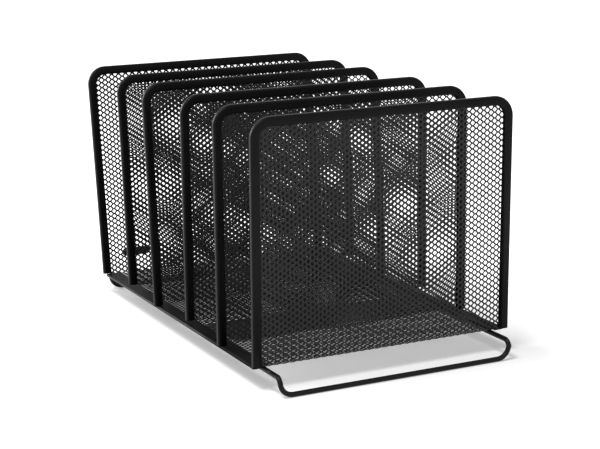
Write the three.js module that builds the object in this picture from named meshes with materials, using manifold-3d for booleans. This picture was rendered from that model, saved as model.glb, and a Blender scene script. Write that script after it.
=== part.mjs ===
// Desk sorter with six mesh dividers on a raised mesh floor and a wire stacking loop.
// Millimetres. X runs across, Y runs back from the first divider to the last, Z is up.

import * as THREE from 'three';
import { mergeVertices } from 'three/addons/utils/BufferGeometryUtils.js';
import Module from 'manifold-3d';

const wasm = await Module();
wasm.setup();

// Divider frames, each a slit tube bent into an arch
const frameWidth = 212;
const frameLength = 177;
const frameFace = 7;
const frameDepth = 5;
const frameCorner = 15.5;
const frameWall = 2.2;
const frameEdge = 1.2;
const shortFoot = 4;

// Pocket lengths along the floor from front face to front face, and how far each divider leans back
const firstPocket = 60.2;
const secondPocket = 59.2;
const thirdPocket = 65.4;
const fourthPocket = 55.4;
const lastPocket = 62.4;
const pocketPitches = [firstPocket, secondPocket, thirdPocket, fourthPocket, lastPocket];
const leansInDegrees = [-0.8, 0, 0.2, 4.2, 4.3, 7];
const shortFooted = [false, false, true, false, true, false];

// Mesh sheets
const meshThickness = 0.6;
const foldRadius = 3;

// Hems along the floor sheet's two sides
const hemThickness = 0.6;
const hemWidth = 12;
const hemCorner = 0.5;

// Stacking wire
const wireDiameter = 3.8;
const wireInset = 10;
const wireRise = 12.8;
const wireBend = 5;
const loopCorner = 9.8;
const frontReach = 18.1;
const rearReach = 16;
const wireGap = 1;

// Blank label plate riveted through the rear panel
const labelWidth = 25.4;
const labelHeight = 7;
const labelThickness = 1.2;
const labelEdge = 0.3;
const labelInset = 24.7;
const labelLift = 15.9;
const backingMargin = 0.6;
const backingThickness = 0.8;
const rivetDiameter = 2;
const rivetSpacing = 17;
const rivetHead = 0.4;

// Gap left between pieces that touch, and how finely round stretches are drawn
const clearance = 0.3;
const foldSteps = 5;
const cornerSteps = 7;
const wireSides = 12;
const spare = 5;

// Heights and places that follow from the sizes above
const wireRadius = wireDiameter / 2;
const floorHeight = 2 * wireRadius + wireRise + clearance + meshThickness / 2;
const hemTop = floorHeight + meshThickness / 2 + clearance + hemThickness;
const footHeight = hemTop + clearance;
const insertHeight = floorHeight + meshThickness + clearance;
const sheetHalf = frameWidth / 2 - frameWall - clearance;
const sheetTop = frameLength - frameWall - clearance;
const sheetCorner = frameCorner - frameWall - clearance;
const hemOuter = sheetHalf + clearance + hemThickness;
const hemInner = hemOuter - hemWidth;
const insertHalf = hemInner - clearance;
const wireSide = hemOuter - wireInset;

const leans = leansInDegrees.map(THREE.MathUtils.degToRad);
const places = [0];
pocketPitches.forEach((pitch, i) => places.push(places[i] + pitch));
const lastIndex = places.length - 1;
const labelMiddle = labelInset + frameFace - frameWidth / 2;

// Finishes
const coat = { metalness: 0.1, roughness: 0.42 };
const frameFinish = () => new THREE.MeshStandardMaterial({ color: 0x1b1c1e, ...coat });
const meshFinish = () => new THREE.MeshStandardMaterial({ color: 0x202124, ...coat, side: THREE.DoubleSide });
const wireFinish = () => new THREE.MeshStandardMaterial({ color: 0x161719, ...coat });
const hemFinish = () => new THREE.MeshStandardMaterial({ color: 0x1e1f22, ...coat });
const labelFinish = () => new THREE.MeshStandardMaterial({ color: 0x121315, metalness: 0, roughness: 0.35 });

// Turns a three.js geometry into a solid that can be cut and joined
function solidOf(geometry) {
  const bare = geometry.clone();
  bare.deleteAttribute('normal');
  bare.deleteAttribute('uv');
  const merged = mergeVertices(bare, 1e-4);
  const vertProperties = new Float32Array(merged.attributes.position.array);
  const triVerts = new Uint32Array(merged.index.array);
  return new wasm.Manifold(new wasm.Mesh({ numProp: 3, vertProperties, triVerts }));
}

// Turns a cut or joined solid back into a three.js geometry
function geometryOf(solid) {
  const mesh = solid.getMesh();
  const geometry = new THREE.BufferGeometry();
  geometry.setAttribute('position', new THREE.BufferAttribute(mesh.vertProperties, 3));
  geometry.setIndex(new THREE.BufferAttribute(mesh.triVerts, 1));
  geometry.computeVertexNormals();
  return geometry;
}

function cut(geometry, ...tools) {
  return geometryOf(tools.reduce((body, tool) => body.subtract(solidOf(tool)), solidOf(geometry)));
}

function piece(name, geometry, material) {
  const mesh = new THREE.Mesh(geometry, material);
  mesh.name = name;
  return mesh;
}

// Extrudes a front view outline from its front face back through the given depth
function extrudeBack(shape, depth, edge = 0) {
  const geometry = new THREE.ExtrudeGeometry(shape, {
    depth: depth - 2 * edge,
    curveSegments: cornerSteps,
    bevelEnabled: edge > 0,
    bevelSize: edge,
    bevelThickness: edge,
    bevelOffset: -edge,
    bevelSegments: 2,
  });
  return geometry.rotateX(Math.PI / 2).translate(0, depth - edge, 0);
}

// Extrudes a side view outline across the object, centred on X
function extrudeAcross(shape, width) {
  const geometry = new THREE.ExtrudeGeometry(shape, { depth: width, bevelEnabled: false });
  const turn = new THREE.Matrix4().makeBasis(
    new THREE.Vector3(0, 1, 0),
    new THREE.Vector3(0, 0, 1),
    new THREE.Vector3(1, 0, 0),
  );
  return geometry.applyMatrix4(turn).translate(-width / 2, 0, 0);
}

// The place and lean of one divider, whose own frame starts at its foot's front face
function dividerPlace(index) {
  const group = new THREE.Group();
  group.position.set(0, places[index], footHeight);
  group.rotation.x = -leans[index];
  group.updateMatrix();
  return group;
}

// A point of a divider's middle plane, in the side view
function middlePoint(index, rise) {
  const point = new THREE.Vector3(0, frameDepth / 2, rise).applyMatrix4(dividerPlace(index).matrix);
  return new THREE.Vector2(point.y, point.z);
}

// Where a divider's middle plane meets a floor of the given height, in the side view
function floorPoint(index, height) {
  const foot = middlePoint(index, 0);
  const back = foot.x + Math.tan(leans[index]) * (height - foot.y);
  return new THREE.Vector2(back, height);
}

// How far a fold between a divider and the floor reaches along the floor
function foldReach(index, side) {
  return foldRadius * Math.tan((Math.PI / 2 + side * leans[index]) / 2);
}

// Points along a bent line with rounded corners, each with its normal
function bentLine(corners, radius) {
  return corners.flatMap((corner, i) => {
    const before = corners[i - 1];
    const after = corners[i + 1];
    const arriving = corner.clone().sub(before ?? corner).normalize();
    const leaving = (after ?? corner).clone().sub(corner).normalize();
    if (!before || !after) {
      const along = before ? arriving : leaving;
      return [{ at: corner, normal: new THREE.Vector2(-along.y, along.x) }];
    }
    const turn = Math.atan2(arriving.cross(leaving), arriving.dot(leaving));
    const start = corner.clone().addScaledVector(arriving, -radius * Math.tan(Math.abs(turn) / 2));
    const normal = new THREE.Vector2(-arriving.y, arriving.x);
    const toCentre = Math.sign(turn) * radius;
    const centre = start.clone().addScaledVector(normal, toCentre);
    return Array.from({ length: foldSteps + 1 }, (_, step) => {
      const turned = normal.clone().rotateAround(new THREE.Vector2(), (turn * step) / foldSteps);
      return { at: centre.clone().addScaledVector(turned, -toCentre), normal: turned };
    });
  });
}

// Removes everything outside a sheet's rounded top corner on the right, in a divider's own frame
function cornerTool(margin) {
  const half = sheetHalf + margin;
  const top = sheetTop + margin;
  const radius = sheetCorner + margin;
  const shape = new THREE.Shape();
  shape.moveTo(half - radius, top);
  shape.absarc(half - radius, top - radius, radius, Math.PI / 2, 0, true);
  shape.lineTo(half + spare, top - radius);
  shape.lineTo(half + spare, top + spare);
  shape.lineTo(half - radius, top + spare);
  return extrudeBack(shape, 2 * spare).translate(0, -spare, 0);
}

// One sheet folded up from a floor into two dividers, made larger all round by a margin
function foldedSheet(front, rear, height, margin = 0) {
  const line = bentLine([
    middlePoint(front, sheetTop + margin),
    floorPoint(front, height),
    floorPoint(rear, height),
    middlePoint(rear, sheetTop + margin),
  ], foldRadius);
  const reach = meshThickness / 2 + margin;
  const upper = line.map(({ at, normal }) => at.clone().addScaledVector(normal, reach));
  const lower = line.map(({ at, normal }) => at.clone().addScaledVector(normal, -reach));
  const sheet = extrudeAcross(new THREE.Shape([...upper, ...lower.reverse()]), 2 * (sheetHalf + margin));
  const corners = [front, rear].flatMap((index) => {
    const middle = new THREE.Matrix4().makeTranslation(0, frameDepth / 2, 0);
    const place = dividerPlace(index).matrix.multiply(middle);
    const right = cornerTool(margin);
    const left = cornerTool(margin).rotateZ(Math.PI);
    return [right.applyMatrix4(place), left.applyMatrix4(place)];
  });
  return cut(sheet, ...corners);
}

// The floor sheet, whose ends stand up as the first and last dividers
function baseMesh() {
  const sheet = foldedSheet(0, lastIndex, floorHeight);
  const place = dividerPlace(lastIndex).matrix;
  const holes = rivetPlaces().map((x) => rivet(x, rivetDiameter + 2 * clearance, spare, spare));
  return cut(sheet, ...holes.map((hole) => hole.applyMatrix4(place)));
}

// How high a fold between a divider and the floor reaches up the divider
function foldTop(index, side, height) {
  return height + foldReach(index, side) * Math.cos(leans[index]);
}

// A second sheet that stands on the floor between the hems and forms two inner dividers
function insertMesh(front, rear) {
  const length = places[rear] - places[front] + 4 * frameDepth;
  const notchWidth = sheetHalf - insertHalf + spare;
  const notchTop = clearance + Math.max(foldTop(front, 1, insertHeight), foldTop(rear, -1, insertHeight));
  const notches = [1, -1].map((side) => {
    const notch = new THREE.BoxGeometry(notchWidth, length, notchTop);
    return notch.translate(
      side * (insertHalf + notchWidth / 2),
      (places[front] + places[rear] + frameDepth) / 2,
      notchTop / 2,
    );
  });
  return cut(foldedSheet(front, rear, insertHeight), ...notches);
}

// A bent tube arch with rounded edges, slit on the inside to take the sheet's edge
function frameArch(foot) {
  const half = frameWidth / 2;
  const innerCorner = frameCorner - frameFace;
  const shape = new THREE.Shape();
  shape.moveTo(half, foot);
  shape.lineTo(half, frameLength - frameCorner);
  shape.absarc(half - frameCorner, frameLength - frameCorner, frameCorner, 0, Math.PI / 2, false);
  shape.absarc(frameCorner - half, frameLength - frameCorner, frameCorner, Math.PI / 2, Math.PI, false);
  shape.lineTo(-half, foot);
  shape.lineTo(frameFace - half, foot);
  shape.lineTo(frameFace - half, frameLength - frameCorner);
  shape.absarc(frameCorner - half, frameLength - frameCorner, innerCorner, Math.PI, Math.PI / 2, true);
  shape.absarc(half - frameCorner, frameLength - frameCorner, innerCorner, Math.PI / 2, 0, true);
  shape.lineTo(half - frameFace, foot);
  return extrudeBack(shape, frameDepth, frameEdge);
}

// The slit that runs round the inside of a frame
function frameSlit() {
  const half = sheetHalf + clearance;
  const top = sheetTop + clearance;
  const radius = sheetCorner + clearance;
  const shape = new THREE.Shape();
  shape.moveTo(half, -spare);
  shape.lineTo(half, top - radius);
  shape.absarc(half - radius, top - radius, radius, 0, Math.PI / 2, false);
  shape.absarc(radius - half, top - radius, radius, Math.PI / 2, Math.PI, false);
  shape.lineTo(-half, -spare);
  const width = meshThickness + 2 * clearance;
  return extrudeBack(shape, width).translate(0, (frameDepth - width) / 2, 0);
}

// One divider frame, in its own place. The end frames also clear the floor sheet's fold
function dividerFrame(index) {
  const group = dividerPlace(index);
  const tools = [frameSlit()];
  if (index === 0 || index === lastIndex) {
    const fold = foldedSheet(0, lastIndex, floorHeight, clearance);
    tools.push(fold.applyMatrix4(group.matrix.clone().invert()));
  }
  const arch = cut(frameArch(shortFooted[index] ? shortFoot : 0), ...tools);
  group.add(piece(`divider_frame_${index + 1}`, arch, frameFinish()));
  return group;
}

// A strip folded over the floor sheet's side edge, on the right
function sideHem() {
  const start = floorPoint(0, floorHeight).x + foldReach(0, 1) + clearance;
  const end = floorPoint(lastIndex, floorHeight).x - foldReach(lastIndex, -1) - clearance;
  const bottom = floorHeight - meshThickness / 2 - clearance - hemThickness;
  const legInner = wireSide + wireRadius + wireGap;
  const shape = new THREE.Shape();
  shape.moveTo(hemInner, hemTop);
  shape.lineTo(hemInner, hemTop - hemThickness);
  shape.lineTo(hemOuter - hemThickness, hemTop - hemThickness);
  shape.lineTo(hemOuter - hemThickness, bottom + hemThickness);
  shape.lineTo(legInner, bottom + hemThickness);
  shape.lineTo(legInner, bottom);
  shape.absarc(hemOuter - hemCorner, bottom + hemCorner, hemCorner, -Math.PI / 2, 0, false);
  shape.absarc(hemOuter - hemCorner, hemTop - hemCorner, hemCorner, 0, Math.PI / 2, false);
  const length = end - start;
  return { geometry: extrudeBack(shape, length).translate(0, -length / 2, 0), middle: (start + end) / 2 };
}

function hems() {
  const { geometry, middle } = sideHem();
  const right = piece('side_hem_right', geometry, hemFinish());
  const left = piece('side_hem_left', geometry.clone().rotateZ(Math.PI), hemFinish());
  right.position.y = middle;
  left.position.y = middle;
  return [left, right];
}

// A closed wire path given by its own stations, each with a direction and an outward side
class WirePath extends THREE.Curve {
  constructor(stations) {
    super();
    this.stations = stations;
  }

  getPointAt(share, target = new THREE.Vector3()) {
    const count = this.stations.length;
    return target.copy(this.stations[Math.round(share * count) % count].at);
  }

  computeFrenetFrames() {
    const looped = [...this.stations, this.stations[0]];
    const tangents = looped.map(({ along }) => along);
    const normals = looped.map(({ along, side }) => side.clone().applyAxisAngle(along, Math.PI / wireSides));
    const binormals = tangents.map((along, i) => along.clone().cross(normals[i]));
    return { tangents, normals, binormals };
  }
}

// Evenly spaced angles of a quarter turn
function quarterTurn(steps) {
  return Array.from({ length: steps + 1 }, (_, step) => (Math.PI / 2) * (step / steps));
}

// One end of the loop on the right, from the crossbar up and over to the level run under the floor
function loopEnd(y) {
  const cornerMiddle = new THREE.Vector3(wireSide - loopCorner, y, wireRadius + loopCorner);
  const corner = quarterTurn(cornerSteps).map((angle) => {
    const side = new THREE.Vector3(Math.sin(angle), 0, -Math.cos(angle));
    const at = side.clone().multiplyScalar(loopCorner).add(cornerMiddle);
    return { at, along: new THREE.Vector3(Math.cos(angle), 0, Math.sin(angle)), side };
  });
  const bendMiddle = new THREE.Vector3(wireSide, y + wireBend, wireRadius + wireRise - wireBend);
  const bend = quarterTurn(foldSteps).map((angle) => {
    const outward = new THREE.Vector3(0, -Math.cos(angle), Math.sin(angle));
    const at = outward.multiplyScalar(wireBend).add(bendMiddle);
    const along = new THREE.Vector3(0, Math.sin(angle), Math.cos(angle));
    return { at, along, side: new THREE.Vector3(1, 0, 0) };
  });
  return [...corner, ...bend];
}

// A stretch of wire mirrored across the given axis and followed the other way
function mirrored(stations, axis) {
  const flip = new THREE.Vector3(1, 1, 1);
  flip[axis] = -1;
  return stations.map(({ at, along, side }) => ({
    at: at.clone().multiply(flip),
    along: along.clone().multiply(flip).negate(),
    side: side.clone().multiply(flip),
  })).reverse();
}

// The wire loop, which lies on the desk at both ends and carries the floor along its sides
function stackingWire() {
  const rearBar = places[lastIndex] + rearReach;
  const rightSide = [...loopEnd(-frontReach), ...mirrored(loopEnd(-rearBar), 'y')];
  const stations = [...rightSide, ...mirrored(rightSide, 'x')];
  const radius = wireRadius / Math.cos(Math.PI / wireSides);
  return new THREE.TubeGeometry(new WirePath(stations), stations.length, radius, wireSides, true);
}

function rivetPlaces() {
  return [labelMiddle - rivetSpacing / 2, labelMiddle + rivetSpacing / 2];
}

// A round pin through the rear panel, in the last divider's own frame
function rivet(x, diameter, front, back) {
  const pin = new THREE.CylinderGeometry(diameter / 2, diameter / 2, front + back, wireSides);
  return pin.translate(x, (back - front) / 2 + frameDepth / 2, labelLift);
}

function ovalShape(width, height) {
  const radius = height / 2;
  const reach = width / 2 - radius;
  const shape = new THREE.Shape();
  shape.absarc(labelMiddle + reach, labelLift, radius, -Math.PI / 2, Math.PI / 2, false);
  shape.absarc(labelMiddle - reach, labelLift, radius, Math.PI / 2, (Math.PI * 3) / 2, false);
  return shape;
}

// The plate sits behind the rear panel with its rivets in one piece, and the backing in front
function labelPieces(index) {
  const group = dividerPlace(index);
  const gap = meshThickness / 2 + clearance;
  const oval = extrudeBack(ovalShape(labelWidth, labelHeight), labelThickness, labelEdge);
  const plate = oval.translate(0, frameDepth / 2 + gap, 0);
  const front = gap + backingThickness + rivetHead;
  const pins = rivetPlaces().map((x) => rivet(x, rivetDiameter, front, gap + labelThickness / 2));
  const joined = pins.reduce((body, pin) => body.add(solidOf(pin)), solidOf(plate));
  group.add(piece('label_plate', geometryOf(joined), labelFinish()));

  const margin = 2 * backingMargin;
  const backing = extrudeBack(ovalShape(labelWidth - margin, labelHeight - margin), backingThickness);
  backing.translate(0, frameDepth / 2 - gap - backingThickness, 0);
  const holes = rivetPlaces().map((x) => rivet(x, rivetDiameter + 2 * clearance, spare, 0));
  group.add(piece('label_backing', cut(backing, ...holes), labelFinish()));
  return group;
}

const sorter = new THREE.Group();
sorter.add(piece('base_mesh', baseMesh(), meshFinish()));
sorter.add(piece('insert_mesh_front', insertMesh(1, 2), meshFinish()));
sorter.add(piece('insert_mesh_rear', insertMesh(3, 4), meshFinish()));
sorter.add(piece('stacking_wire', stackingWire(), wireFinish()));
sorter.add(...hems());
places.forEach((_, index) => sorter.add(dividerFrame(index)));
sorter.add(labelPieces(lastIndex));

// The origin is under the middle of the overall length, on the desk
const box = new THREE.Box3().setFromObject(sorter, true);
sorter.position.y = -(box.min.y + box.max.y) / 2;

export default sorter;
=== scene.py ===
import math

import bmesh
import bpy
import numpy as np
from mathutils import Matrix, Vector


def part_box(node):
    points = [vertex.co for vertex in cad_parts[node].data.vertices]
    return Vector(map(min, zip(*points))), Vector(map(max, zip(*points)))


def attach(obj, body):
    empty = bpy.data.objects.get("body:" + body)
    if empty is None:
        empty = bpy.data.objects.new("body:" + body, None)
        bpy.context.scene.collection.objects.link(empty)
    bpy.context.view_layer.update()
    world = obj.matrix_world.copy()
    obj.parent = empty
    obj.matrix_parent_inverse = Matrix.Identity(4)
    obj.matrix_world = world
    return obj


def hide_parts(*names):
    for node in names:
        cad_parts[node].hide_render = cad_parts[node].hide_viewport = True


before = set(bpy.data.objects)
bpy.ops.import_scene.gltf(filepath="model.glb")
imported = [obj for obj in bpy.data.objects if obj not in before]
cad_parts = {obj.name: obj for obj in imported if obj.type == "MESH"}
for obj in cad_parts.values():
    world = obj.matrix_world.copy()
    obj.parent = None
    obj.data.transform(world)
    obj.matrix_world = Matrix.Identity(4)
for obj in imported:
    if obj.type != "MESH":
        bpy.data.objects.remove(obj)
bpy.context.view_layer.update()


# Base sheet. One long piece of expanded steel, slit and stretched into diamond openings and folded up
# at both ends: its middle is the floor, and its ends are the first and the last divider. It is
# powder coated in satin black with the rest, after everything is welded.
pocket_lengths = (0.0602, 0.0592, 0.0654, 0.0554, 0.0624)
leans = np.radians((-0.8, 0.0, 0.2, 4.2, 4.3, 7.0))
frame_width = 0.212
frame_length = 0.177
frame_face = 0.007
frame_depth = 0.005
frame_corner = 0.0155
foot_height = 0.0187
wire_radius = 0.0019
loop_front = 0.0181
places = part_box("stacking_wire")[0].y + wire_radius + loop_front + np.cumsum((0.0, *pocket_lengths))

floor_height = 0.0172
fold_radius = 0.003
sheet_half = 0.1035

diamond_width = 0.00627
diamond_height = 0.00425
strand_thickness = 0.0004
strand_lean = 0.00014
bond_length = 0.001
bond_height = 0.0013
hidden_edge = 0.0026
spare_columns = 3


def half_sheet(divider, height, middle):
    """Side view of half a folded sheet, from the middle of its floor to the top of a divider.

    A distance along the sheet runs level as far as the fold, then round an arc of the fold's
    radius that turns a right angle less the lean, then straight up the leaning divider. An
    offset moves the point square to the sheet, towards the inside of the fold.
    """
    side = math.copysign(1.0, places[divider] - middle)
    lean = leans[divider]
    foot_y = places[divider] + frame_depth / 2 * math.cos(lean)
    foot_z = foot_height - frame_depth / 2 * math.sin(lean)
    corner_y = foot_y + math.tan(lean) * (height - foot_z)
    turn = math.pi / 2 - side * lean
    reach = fold_radius * math.tan(turn / 2)
    level = side * (corner_y - middle) - reach
    rise_of_fold = (height - foot_z) / math.cos(lean) + reach

    def place(along, offset):
        bent = np.clip((along - level) / fold_radius, 0.0, turn)
        upright = np.maximum(along - level - fold_radius * turn, 0.0)
        y = np.minimum(along, level) + (fold_radius - offset) * np.sin(bent) + upright * math.cos(turn)
        z = fold_radius - (fold_radius - offset) * np.cos(bent) + upright * math.sin(turn)
        return middle + side * y, height + z

    def rise(along):
        return rise_of_fold + along - level - fold_radius * turn

    return place, rise, side


def beyond_frame(x, rise):
    """Signed distance from the inner edge of a divider's frame, a rectangle with round top corners."""
    radius = frame_corner - frame_face
    across = np.abs(x) - (frame_width / 2 - frame_face - radius)
    above = rise - (frame_length - frame_face - radius)
    outside = np.hypot(np.maximum(across, 0.0), np.maximum(above, 0.0))
    return outside + np.minimum(np.maximum(across, above), 0.0) - radius


def build(name, points, faces, outward=True):
    """A mesh object from arrays of points and faces, all smooth; outward turns its faces out."""
    mesh = bpy.data.meshes.new(name)
    mesh.from_pydata(np.asarray(points).tolist(), [], [list(face) for face in faces])
    if outward:
        shape = bmesh.new()
        shape.from_mesh(mesh)
        bmesh.ops.recalc_face_normals(shape, faces=shape.faces)
        shape.to_mesh(mesh)
        shape.free()
    mesh.polygons.foreach_set("use_smooth", np.ones(len(mesh.polygons), bool))
    mesh.update()
    piece = bpy.data.objects.new(name, mesh)
    bpy.context.scene.collection.objects.link(piece)
    return piece


def expanded_half(
    name, divider, height, middle, first_row, floor_half, panel_start, shift, skew, strand_width
):
    """Expanded metal on half a folded sheet, as one closed mesh with a real opening in each cell.

    Cells are flat hexagons round the openings, in staggered rows half a diamond apart, and meet
    along the middle lines of the strands. Each cell is a ring between its own outline and its
    opening: the outline is the crown of the strand, half the thickness up and down, and the
    opening's edge is set back to a quarter. One edge of each opening stands up from the sheet by
    the strands' lean and the other goes down, as stretching turns them. The pattern leans by the
    skew, since no sheet is cut quite square, and is then laid along the folded sheet. The strand
    width is how wide the metal is between two openings, and each half has its own.
    """
    place, rise, side = half_sheet(divider, height, middle)
    half_width = diamond_width / 2
    half_height = diamond_height / 2
    columns = math.ceil(sheet_half / half_width) + spare_columns
    rows = math.ceil((frame_length + abs(places[divider] - middle)) / half_height)
    m, n = (v.ravel() for v in np.meshgrid(np.arange(-columns, columns + 1), np.arange(first_row, rows)))
    along = n * half_height
    x = m * half_width + shift + side * skew * along
    within_floor = np.abs(x) < floor_half - strand_width
    within_panel = beyond_frame(x, rise(along)) < hidden_edge
    inside = np.where(rise(along) < panel_start, within_floor, within_panel)
    keep = inside & ((m + n) % 2 == 0)
    m, n, x, along = m[keep, None], n[keep, None], x[keep, None], along[keep, None]
    cells = len(m)

    up_or_down = np.array((0, 1, 1, 0, -1, -1))
    corner_m = m + np.array((1, 0, 0, -1, 0, 0))
    corner_n = n + up_or_down
    corner_end = np.broadcast_to((-1, 1, -1, 1, -1, 1), corner_m.shape)
    key = ((corner_m + columns + 1) * (rows + 2) + corner_n + 1) * 2 + (corner_end > 0)
    _, first, inverse = np.unique(key.ravel(), return_index=True, return_inverse=True)
    ring = inverse.reshape(cells, 6)
    corners = len(first)
    crown_along = (corner_n * half_height).ravel()[first]
    crown_x = (corner_m * half_width + corner_end * bond_length / 2 + shift).ravel()[first]
    crown_x += side * skew * crown_along

    slope = math.atan2(half_height, half_width - bond_length)
    tip = half_width - bond_length / 2 - strand_width / 2 / math.sin(slope)
    shoulder = half_height - bond_height / 2
    neck = tip - shoulder / math.tan(slope)
    opening_x = (x + np.array((tip, neck, -neck, -tip, -neck, neck))).ravel()
    opening_along = (along + shoulder * up_or_down).ravel()

    def trimmed(across, run, limit):
        return np.where(rise(run) < panel_start, np.clip(across, -limit, limit), across)

    crown_x = trimmed(crown_x, crown_along, floor_half)
    opening_x = trimmed(opening_x, opening_along, floor_half - strand_width / 2)
    across = np.concatenate((crown_x, crown_x, opening_x, opening_x))
    run = np.concatenate((crown_along, crown_along, opening_along, opening_along))
    crown, edge = strand_thickness / 2, strand_thickness / 4
    offset = np.repeat((crown, -crown, edge, -edge), (corners, corners, 6 * cells, 6 * cells))
    offset[2 * corners:] -= np.tile(side * strand_lean * up_or_down, 2 * cells)
    y, z = place(run, offset)

    top, bottom = ring, ring + corners
    edge_top = 2 * corners + np.arange(6 * cells).reshape(cells, 6)
    edge_bottom = edge_top + 6 * cells

    def following(loop):
        return np.roll(loop, -1, axis=1)

    bands = [
        (top, following(top), following(edge_top), edge_top),
        (edge_top, following(edge_top), following(edge_bottom), edge_bottom),
        (following(bottom), bottom, edge_bottom, following(edge_bottom)),
    ]
    quads = [np.stack(band, -1).reshape(-1, 4) for band in bands]
    start, end = ring.ravel(), following(ring).ravel()
    code = np.minimum(start, end) * corners + np.maximum(start, end)
    _, again, uses = np.unique(code, return_inverse=True, return_counts=True)
    rim = uses[again] == 1
    quads.append(np.stack((end, start, start + corners, end + corners), -1)[rim])
    quads = np.concatenate(quads)
    if side < 0:
        quads = quads[:, ::-1]
    return build(name, np.stack((across, y, z), 1), quads.tolist(), outward=False)


patch_scale = 22.0
patch_detail = 3.0
patch_steps = (0.3, 0.7)
patch_shares = (0.75, 1.3)
sheen_range = (-0.05, 0.07)
peel_scale = 900.0
peel_detail = 2.0
peel_depth = 0.0001


def powder_coat(name, tint, roughness, gloss, grain):
    """Powder coat: near black paint with a fine orange peel and soft patches of colour and sheen.

    The label's moulded plastic is made the same way, with less grain.
    """
    material = bpy.data.materials.new(name)
    material.use_nodes = True
    nodes, links = material.node_tree.nodes, material.node_tree.links
    shader = nodes["Principled BSDF"]
    shader.inputs["Specular IOR Level"].default_value = gloss
    place = nodes.new("ShaderNodeTexCoord")

    patches = nodes.new("ShaderNodeTexNoise")
    patches.inputs["Scale"].default_value = patch_scale
    patches.inputs["Detail"].default_value = patch_detail
    links.new(place.outputs["Object"], patches.inputs["Vector"])
    colours = nodes.new("ShaderNodeValToRGB")
    for element, position, share in zip(colours.color_ramp.elements, patch_steps, patch_shares):
        element.position = position
        element.color = (*(share * value for value in tint), 1.0)
    links.new(patches.outputs["Fac"], colours.inputs["Fac"])
    links.new(colours.outputs["Color"], shader.inputs["Base Color"])
    sheen = nodes.new("ShaderNodeMapRange")
    sheen.inputs["To Min"].default_value = roughness + sheen_range[0]
    sheen.inputs["To Max"].default_value = roughness + sheen_range[1]
    links.new(patches.outputs["Fac"], sheen.inputs["Value"])
    links.new(sheen.outputs["Result"], shader.inputs["Roughness"])

    peel = nodes.new("ShaderNodeTexNoise")
    peel.inputs["Scale"].default_value = peel_scale
    peel.inputs["Detail"].default_value = peel_detail
    links.new(place.outputs["Object"], peel.inputs["Vector"])
    bump = nodes.new("ShaderNodeBump")
    bump.inputs["Strength"].default_value = grain
    bump.inputs["Distance"].default_value = peel_depth
    links.new(peel.outputs["Fac"], bump.inputs["Height"])
    links.new(bump.outputs["Normal"], shader.inputs["Normal"])
    return material


def dress(piece, material, slot, *nodes):
    """Gives a piece its finish, sets it on the body, and lets it stand for its nodes. The slot is not
    used.
    """
    piece.data.materials.append(material)
    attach(piece, "root")
    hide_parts(*nodes)


mesh_coat = powder_coat("mesh_powder_coat", (0.011, 0.011, 0.012), roughness=0.46, gloss=0.25, grain=0.25)
base_skew = 0.01
base_strands = (0.00126, 0.00142)
last = len(places) - 1
floor_middle = (places[0] + places[last] + frame_depth) / 2
for divider, first_row, strand_width in zip((0, last), (1, 0), base_strands):
    name = f"base_mesh_{divider + 1}"
    sheet = expanded_half(
        name, divider, floor_height, floor_middle, first_row, sheet_half,
        panel_start=0.0, shift=0.0, skew=base_skew, strand_width=strand_width,
    )
    dress(sheet, mesh_coat, "mesh_coat", "base_mesh")


# Side hems. A strip of sheet steel is folded flat round each side edge of the floor sheet, so that
# no cut strand shows, and gives the frames' feet something to be welded to.
hem_sheet = 0.0006
hem_bend = 0.0009
hem_leg_start = 0.0973
hem_stations = 4
bend_steps = 6


def rounded_line(corners, radius):
    """An open line in the plane with each inner corner replaced by an arc of the given radius."""
    corners = np.asarray(corners, float)
    points = [corners[:1]]
    for before, corner, after in zip(corners, corners[1:], corners[2:]):
        arriving = (corner - before) / np.linalg.norm(corner - before)
        leaving = (after - corner) / np.linalg.norm(after - corner)
        turn = math.atan2(arriving[0] * leaving[1] - arriving[1] * leaving[0], arriving @ leaving)
        start = corner - arriving * radius * math.tan(abs(turn) / 2)
        share = np.linspace(0.0, turn, bend_steps + 1)[:, None]
        square = np.array((-arriving[1], arriving[0])) * math.copysign(1.0, turn)
        arc = start + radius * (np.sin(np.abs(share)) * arriving + (1 - np.cos(share)) * square)
        points.append(arc)
    points.append(corners[-1:])
    return np.concatenate(points)


def wall_outline(corners, thickness, radius):
    """Both faces of a bent strip: the rounded line, and its copy moved square to it by the thickness."""
    line = rounded_line(corners, radius)
    direction = np.gradient(line, axis=0)
    direction /= np.linalg.norm(direction, axis=1)[:, None]
    return line, line + thickness * np.stack((-direction[:, 1], direction[:, 0]), 1)


def joined_rings(rings, closed=False):
    """Numbers of the points in each ring, and quads that join every ring all round to the next one.

    On a closed path the last ring is joined to the first as well.
    """
    stations, size = rings.shape[:2]
    index = np.arange(stations * size).reshape(stations, size)
    ahead = np.roll(index, -1, axis=0) if closed else index[1:]
    here = index if closed else index[:-1]
    quads = np.stack((here, np.roll(here, -1, 1), np.roll(ahead, -1, 1), ahead), -1)
    return index, quads.reshape(-1, 4).tolist()


def strip_along(rings):
    """Points and faces of a thick strip carried along an open path.

    Each ring holds the strip's one face and then its other face turned back. Neighbouring rings
    are joined all round, and both ends get a band of quads between the two faces.
    """
    index, faces = joined_rings(rings)
    for ring in (index[0], index[-1]):
        one, other = np.split(ring, 2)
        other = other[::-1]
        faces += np.stack((one[:-1], one[1:], other[1:], other[:-1]), -1).tolist()
    return rings.reshape(-1, 3), faces


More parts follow.
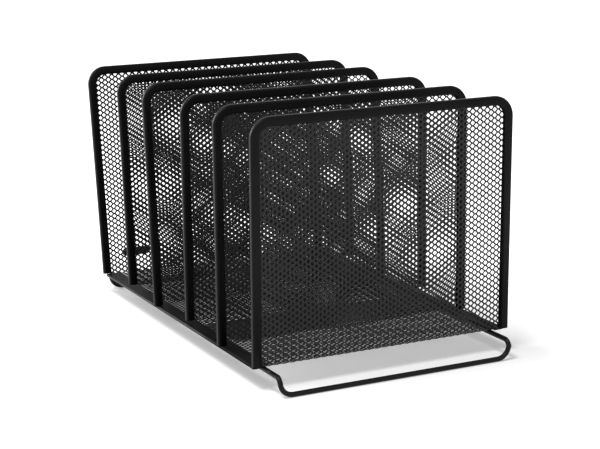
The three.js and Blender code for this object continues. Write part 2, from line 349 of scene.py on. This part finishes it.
hem_coat = powder_coat("hem_powder_coat", (0.005, 0.005, 0.0055), roughness=0.42, gloss=0.12, grain=0.3)
for hem, hand in (("side_hem_left", -1.0), ("side_hem_right", 1.0)):
    low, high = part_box(hem)
    outer = max(abs(low.x), abs(high.x))
    inner = min(abs(low.x), abs(high.x))
    corners = ((hem_leg_start, low.z), (outer, low.z), (outer, high.z), (inner, high.z))
    face, back = wall_outline(corners, hem_sheet, hem_bend)
    outline = np.concatenate((face, back[::-1]))
    stations = np.linspace(low.y, high.y, hem_stations)
    rings = np.empty((len(stations), len(outline), 3))
    rings[..., 0] = hand * outline[:, 0]
    rings[..., 1] = stations[:, None]
    rings[..., 2] = outline[:, 1]
    strip = build(f"{hem}_strip", *strip_along(rings))
    dress(strip, hem_coat, "hem_coat", hem)


# Insert sheets. Two shorter sheets of the same expanded steel, each folded like a U, stand on the
# floor between the hems, spot welded to it, and make the second to the fifth dividers.
insert_height = 0.0181
insert_half = 0.0921
notch_rise = 0.0032
inserts = (
    ("insert_mesh_front", 1, 0.0019, -0.025, 0.00112),
    ("insert_mesh_rear", 3, -0.0012, 0.03, 0.00107),
)
for node, front, shift, skew, strand_width in inserts:
    middle = (places[front] + places[front + 1] + frame_depth) / 2
    for divider, first_row in ((front, 1), (front + 1, 0)):
        name = f"{node}_{divider + 1}"
        sheet = expanded_half(
            name, divider, insert_height, middle, first_row, insert_half,
            notch_rise, shift, skew, strand_width,
        )
        dress(sheet, mesh_coat, "mesh_coat", node)


# Divider frames. Thin steel tube, flattened to a rounded oblong and slit along its inner side, is
# bent into an arch, pressed over the sheet's edge and welded to the hems by its two feet.
tube_wall = 0.0008
tube_corner = 0.0017
tube_slit = 0.0012
corner_steps = 14
short_feet = {2: 0.004, 4: 0.004}
weld_gap = 0.0003


def arch_line(foot):
    """The outer edge of a frame in the front view, with the inward direction at each station.

    It runs straight up from the right foot, round two quarter circles and down to the left foot.
    """
    half, top = frame_width / 2 - frame_corner, frame_length - frame_corner
    quarter = np.linspace(0.0, math.pi / 2, corner_steps + 1)
    angle = np.concatenate(((0.0,), quarter, quarter + math.pi / 2, (math.pi,)))
    outward = np.stack((np.cos(angle), np.sin(angle)), 1)
    middle = np.stack((np.where(angle > math.pi / 2, -half, half), np.full(len(angle), top)), 1)
    middle[corner_steps + 1, 0] = half
    middle[corner_steps + 2, 0] = -half
    middle[0, 1] = middle[-1, 1] = foot
    return middle + frame_corner * outward, -outward


def leaning(divider, x, depth, rise):
    """A point of a divider in its own frame, turned back by its lean about its foot's front edge."""
    lean = leans[divider]
    y = places[divider] + depth * math.cos(lean) + rise * math.sin(lean)
    z = foot_height - depth * math.sin(lean) + rise * math.cos(lean)
    return np.stack(np.broadcast_arrays(x, y, z), -1)


frame_coat = powder_coat(
    "frame_powder_coat", (0.0045, 0.0045, 0.005), roughness=0.38, gloss=0.08, grain=0.35
)
half_depth = frame_depth / 2
near_half = np.array(((frame_face, -tube_slit / 2), (frame_face, -half_depth), (0.0, -half_depth)))
far_half = near_half[::-1] * (1.0, -1.0)
tube_face, tube_back = wall_outline(np.concatenate((near_half, far_half)), -tube_wall, tube_corner)
tube_outline = np.concatenate((tube_face, tube_back[::-1]))
for divider in range(len(places)):
    edge_line, inward = arch_line(short_feet.get(divider, -weld_gap))
    flat = edge_line[:, None] + inward[:, None] * tube_outline[:, :1]
    depth = half_depth + tube_outline[:, 1]
    rings = leaning(divider, flat[..., 0], depth, flat[..., 1])
    tube = build(f"frame_tube_{divider + 1}", *strip_along(rings))
    dress(tube, frame_coat, "frame_coat", f"divider_frame_{divider + 1}")


# Stacking wire. One closed loop of steel wire is welded under the hems. At each end it bends straight
# down and then across, and the two crossbars lie on the desk.
wire_side = 0.0944
wire_rise = 0.0128
wire_bend = 0.005
loop_corner = 0.0098
loop_rear = 0.016
wire_steps = 14
wire_sides = 24


def loop_end(y):
    """One end of the loop on the right, as its middle line, its heading and its outer side.

    A quarter circle leads up from the crossbar, in a plane across the sorter, and a second one leads
    from upright to level, in a plane along it.
    """
    angle = np.linspace(0.0, math.pi / 2, wire_steps + 1)
    cosine, sine, none = np.cos(angle), np.sin(angle), np.zeros_like(angle)
    side = np.stack((sine, none, -cosine), 1)
    corner = np.array((wire_side - loop_corner, y, wire_radius + loop_corner)) + loop_corner * side
    bend = np.array((wire_side, y + wire_bend, wire_radius + wire_rise - wire_bend))
    bend = bend + wire_bend * np.stack((none, -cosine, sine), 1)
    heading = np.concatenate((np.stack((cosine, none, sine), 1), np.stack((none, sine, cosine), 1)))
    level_side = np.broadcast_to((1.0, 0.0, 0.0), bend.shape)
    return np.concatenate((corner, bend)), heading, np.concatenate((side, level_side))


def mirrored(stretch, axis):
    """A stretch of wire mirrored across an axis and followed the other way."""
    flip = np.ones(3)
    flip[axis] = -1.0
    line, along, side = stretch
    return (line * flip)[::-1], (-along * flip)[::-1], (side * flip)[::-1]


def joined(*stretches):
    """Stretches of wire one after the other."""
    return tuple(np.concatenate(parts) for parts in zip(*stretches))


right_run = joined(loop_end(places[0] - loop_front), mirrored(loop_end(-places[last] - loop_rear), 1))
spine, heading, outside = joined(right_run, mirrored(right_run, 0))
around = np.linspace(0.0, 2.0 * math.pi, wire_sides, endpoint=False)[:, None]
section = np.cos(around) * outside[:, None] + np.sin(around) * np.cross(heading, outside)[:, None]
rings = spine[:, None] + wire_radius * section
wire = build("wire_loop", rings.reshape(-1, 3), joined_rings(rings, closed=True)[1])
wire_coat = powder_coat("wire_powder_coat", (0.005, 0.005, 0.0055), roughness=0.36, gloss=0.15, grain=0.2)
dress(wire, wire_coat, "wire_coat", "stacking_wire")


# Label plate. A small oval plate of black plastic behind the last divider, held by two rivets that
# pass through the mesh and through a smaller backing on the other side. It is left blank.
label_inset = 0.0247
label_lift = 0.0159
plate_size = (0.0254, 0.007, 0.0012)
backing_size = (0.0242, 0.0058, 0.0008)
label_gap = 0.0006
rivet_spacing = 0.017
rivet_radius = 0.0013
rivet_height = 0.0004
rivet_rings = 7
rivet_sides = 24
rivet_dome = 0.9 * math.pi / 2
oval_sides = 48
label_middle = label_inset + frame_face - frame_width / 2


def capped_rings(rings):
    """Points and faces of rings joined one to the next, with a face over the first and the last."""
    index, faces = joined_rings(rings)
    return rings.reshape(-1, 3), faces + [index[0].tolist(), index[-1].tolist()]


def oval_plate(name, size, start, steps):
    """An oval, which is a circle pulled apart along X, stacked in rings.

    Each step gives a ring's inset from the edge, and its depth as a share of the thickness.
    """
    width, height, thickness = size
    angle = (np.arange(oval_sides) + 0.5) * 2.0 * math.pi / oval_sides
    inset, depth = (np.array(column)[:, None] for column in zip(*steps))
    radius = height / 2 - inset
    reach = (width - height) / 2
    x = label_middle + reach * np.sign(np.cos(angle)) + radius * np.cos(angle)
    rise = label_lift + radius * np.sin(angle)
    rings = leaning(last, x, start + thickness * depth, rise)
    return build(name, *capped_rings(rings))


def rivet_head(name, x, start):
    """A low dome: its radius shrinks with the cosine of an angle as its height grows with the sine."""
    lift = np.linspace(0.0, rivet_dome, rivet_rings)[:, None]
    angle = np.linspace(0.0, 2.0 * math.pi, rivet_sides, endpoint=False)
    across = x + rivet_radius * np.cos(lift) * np.cos(angle)
    rise = label_lift + rivet_radius * np.cos(lift) * np.sin(angle)
    rings = leaning(last, across, start - rivet_height * np.sin(lift), rise)
    return build(name, *capped_rings(rings))


label_plastic = powder_coat("label_plastic", (0.014, 0.014, 0.015), roughness=0.34, gloss=0.25, grain=0.12)
rim_steps = ((0.0011, 0.12), (0.0008, 0.1), (0.0006, 0.0), (0.0003, 0.0), (0.0001, 0.1), (0.0, 0.3))
rim_steps += ((0.0, 0.7), (0.0001, 0.9), (0.0003, 1.0), (0.0006, 1.0), (0.0008, 0.9), (0.0011, 0.88))
plate = oval_plate("label_oval", plate_size, half_depth + label_gap, rim_steps)
dress(plate, label_plastic, "label_plastic", "label_plate")
backing_start = half_depth - label_gap - backing_size[2]
backing = oval_plate("label_oval_backing", backing_size, backing_start, rim_steps)
dress(backing, label_plastic, "label_plastic", "label_backing")
for number, hand in enumerate((-1.0, 1.0), start=1):
    head = rivet_head(f"label_rivet_{number}", label_middle + hand * rivet_spacing / 2, backing_start)
    dress(head, label_plastic, "label_plastic", "label_plate")


# Desk. A plain white surface that keeps the soft shadow under and beside the sorter, and fades into
# the white background with the distance from the rectangle that the sorter stands on.
desk_size = 12.0
desk_white = 0.87
desk_roughness = 0.9
desk_lift = 0.3
fade_start = 0.02
fade_end = 0.12
footprint = (frame_width / 2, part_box("stacking_wire")[1].y, 0.0)
bpy.ops.mesh.primitive_plane_add(size=desk_size)
desk = bpy.context.object
desk.name = "desk"
desk_paint = bpy.data.materials.new("desk_white")
desk_paint.use_nodes = True
nodes, links = desk_paint.node_tree.nodes, desk_paint.node_tree.links
shader = nodes["Principled BSDF"]
shader.inputs["Base Color"].default_value = (desk_white, desk_white, desk_white, 1.0)
shader.inputs["Roughness"].default_value = desk_roughness
shader.inputs["Specular IOR Level"].default_value = 0.0
shader.inputs["Emission Color"].default_value = (1.0, 1.0, 1.0, 1.0)
# How far a point of the desk lies outside the rectangle under the sorter
seat = nodes.new("ShaderNodeTexCoord")
mirrored_seat, beyond, clear, away = (nodes.new("ShaderNodeVectorMath") for _ in range(4))
mirrored_seat.operation = "ABSOLUTE"
beyond.operation = "SUBTRACT"
clear.operation = "MAXIMUM"
away.operation = "LENGTH"
links.new(seat.outputs["Object"], mirrored_seat.inputs[0])
links.new(mirrored_seat.outputs["Vector"], beyond.inputs[0])
beyond.inputs[1].default_value = footprint
links.new(beyond.outputs["Vector"], clear.inputs[0])
clear.inputs[1].default_value = (0.0, 0.0, 0.0)
links.new(clear.outputs["Vector"], away.inputs[0])
fade = nodes.new("ShaderNodeMapRange")
fade.inputs["From Min"].default_value = fade_start
fade.inputs["From Max"].default_value = fade_end
fade.inputs["To Min"].default_value = desk_lift
fade.inputs["To Max"].default_value = 1.0
links.new(away.outputs["Value"], fade.inputs["Value"])


def seen_rays(nodes, links):
    """1 where a camera, glossy or transmission ray looks, and 0 for the light that falls on things."""
    path = nodes.new("ShaderNodeLightPath")
    first, second = nodes.new("ShaderNodeMath"), nodes.new("ShaderNodeMath")
    first.operation = second.operation = "MAXIMUM"
    links.new(path.outputs["Is Camera Ray"], first.inputs[0])
    links.new(path.outputs["Is Glossy Ray"], first.inputs[1])
    links.new(first.outputs["Value"], second.inputs[0])
    links.new(path.outputs["Is Transmission Ray"], second.inputs[1])
    return second.outputs["Value"]


lift = nodes.new("ShaderNodeMath")
lift.operation = "MULTIPLY"
links.new(seen_rays(nodes, links), lift.inputs[0])
links.new(fade.outputs["Result"], lift.inputs[1])
links.new(lift.outputs["Value"], shader.inputs["Emission Strength"])
desk.data.materials.append(desk_paint)


# Studio. A white room that lights evenly, a long soft lamp overhead on the left and a weaker one at
# the back on the left, which picks out the left sides of the frames.
room_light = 0.27
world = bpy.data.worlds.new("studio")
bpy.context.scene.world = world
world.use_nodes = True
nodes, links = world.node_tree.nodes, world.node_tree.links
background = nodes["Background"]
background.inputs["Color"].default_value = (1.0, 1.0, 1.0, 1.0)
strength = nodes.new("ShaderNodeMapRange")
strength.inputs["To Min"].default_value = room_light
strength.inputs["To Max"].default_value = 1.0
links.new(seen_rays(nodes, links), strength.inputs["Value"])
links.new(strength.outputs["Result"], background.inputs["Strength"])


def soft_lamp(name, width, depth, power, place, target):
    """A flat lamp of the given width and depth in metres at a place, facing a target."""
    lamp = bpy.data.lights.new(name, "AREA")
    lamp.shape = "RECTANGLE"
    lamp.size, lamp.size_y = width, depth
    lamp.energy = power
    holder = bpy.data.objects.new(name, lamp)
    bpy.context.scene.collection.objects.link(holder)
    turn = (Vector(place) - Vector(target)).to_track_quat("Z", "Y")
    holder.matrix_world = Matrix.Translation(place) @ turn.to_matrix().to_4x4()


soft_lamp("overhead", 1.0, 0.4, power=22.0, place=(-0.75, -0.35, 1.5), target=(0.0, 0.0, 0.0))
soft_lamp("back_left", 0.6, 0.6, power=12.0, place=(-0.8, 1.25, 0.55), target=(0.0, 0.0, 0.1))


# Camera. It stands where the photograph was taken from, in front of the sorter, to its left and a
# little above it. Its place, turn and lens were fitted to the edges of the frames, hems and wire.
camera_place = (-0.56257, -1.14389, 0.36947)
camera_yaw = math.radians(26.526)
camera_pitch = math.radians(12.82)
camera_roll = math.radians(-0.66)
camera_lens = 97.98
camera_sensor = 36.0
camera_reach = 50.0
camera_data = bpy.data.cameras.new("camera")
camera_data.lens = camera_lens
camera_data.sensor_width = camera_sensor
camera_data.clip_end = camera_reach
camera = bpy.data.objects.new("camera", camera_data)
bpy.context.scene.collection.objects.link(camera)
camera.matrix_world = (
    Matrix.Translation(camera_place)
    @ Matrix.Rotation(-camera_yaw, 4, "Z")
    @ Matrix.Rotation(math.pi / 2 - camera_pitch, 4, "X")
    @ Matrix.Rotation(camera_roll, 4, "Z")
)
bpy.context.scene.camera = camera
bpy.context.scene.view_settings.view_transform = "Standard"
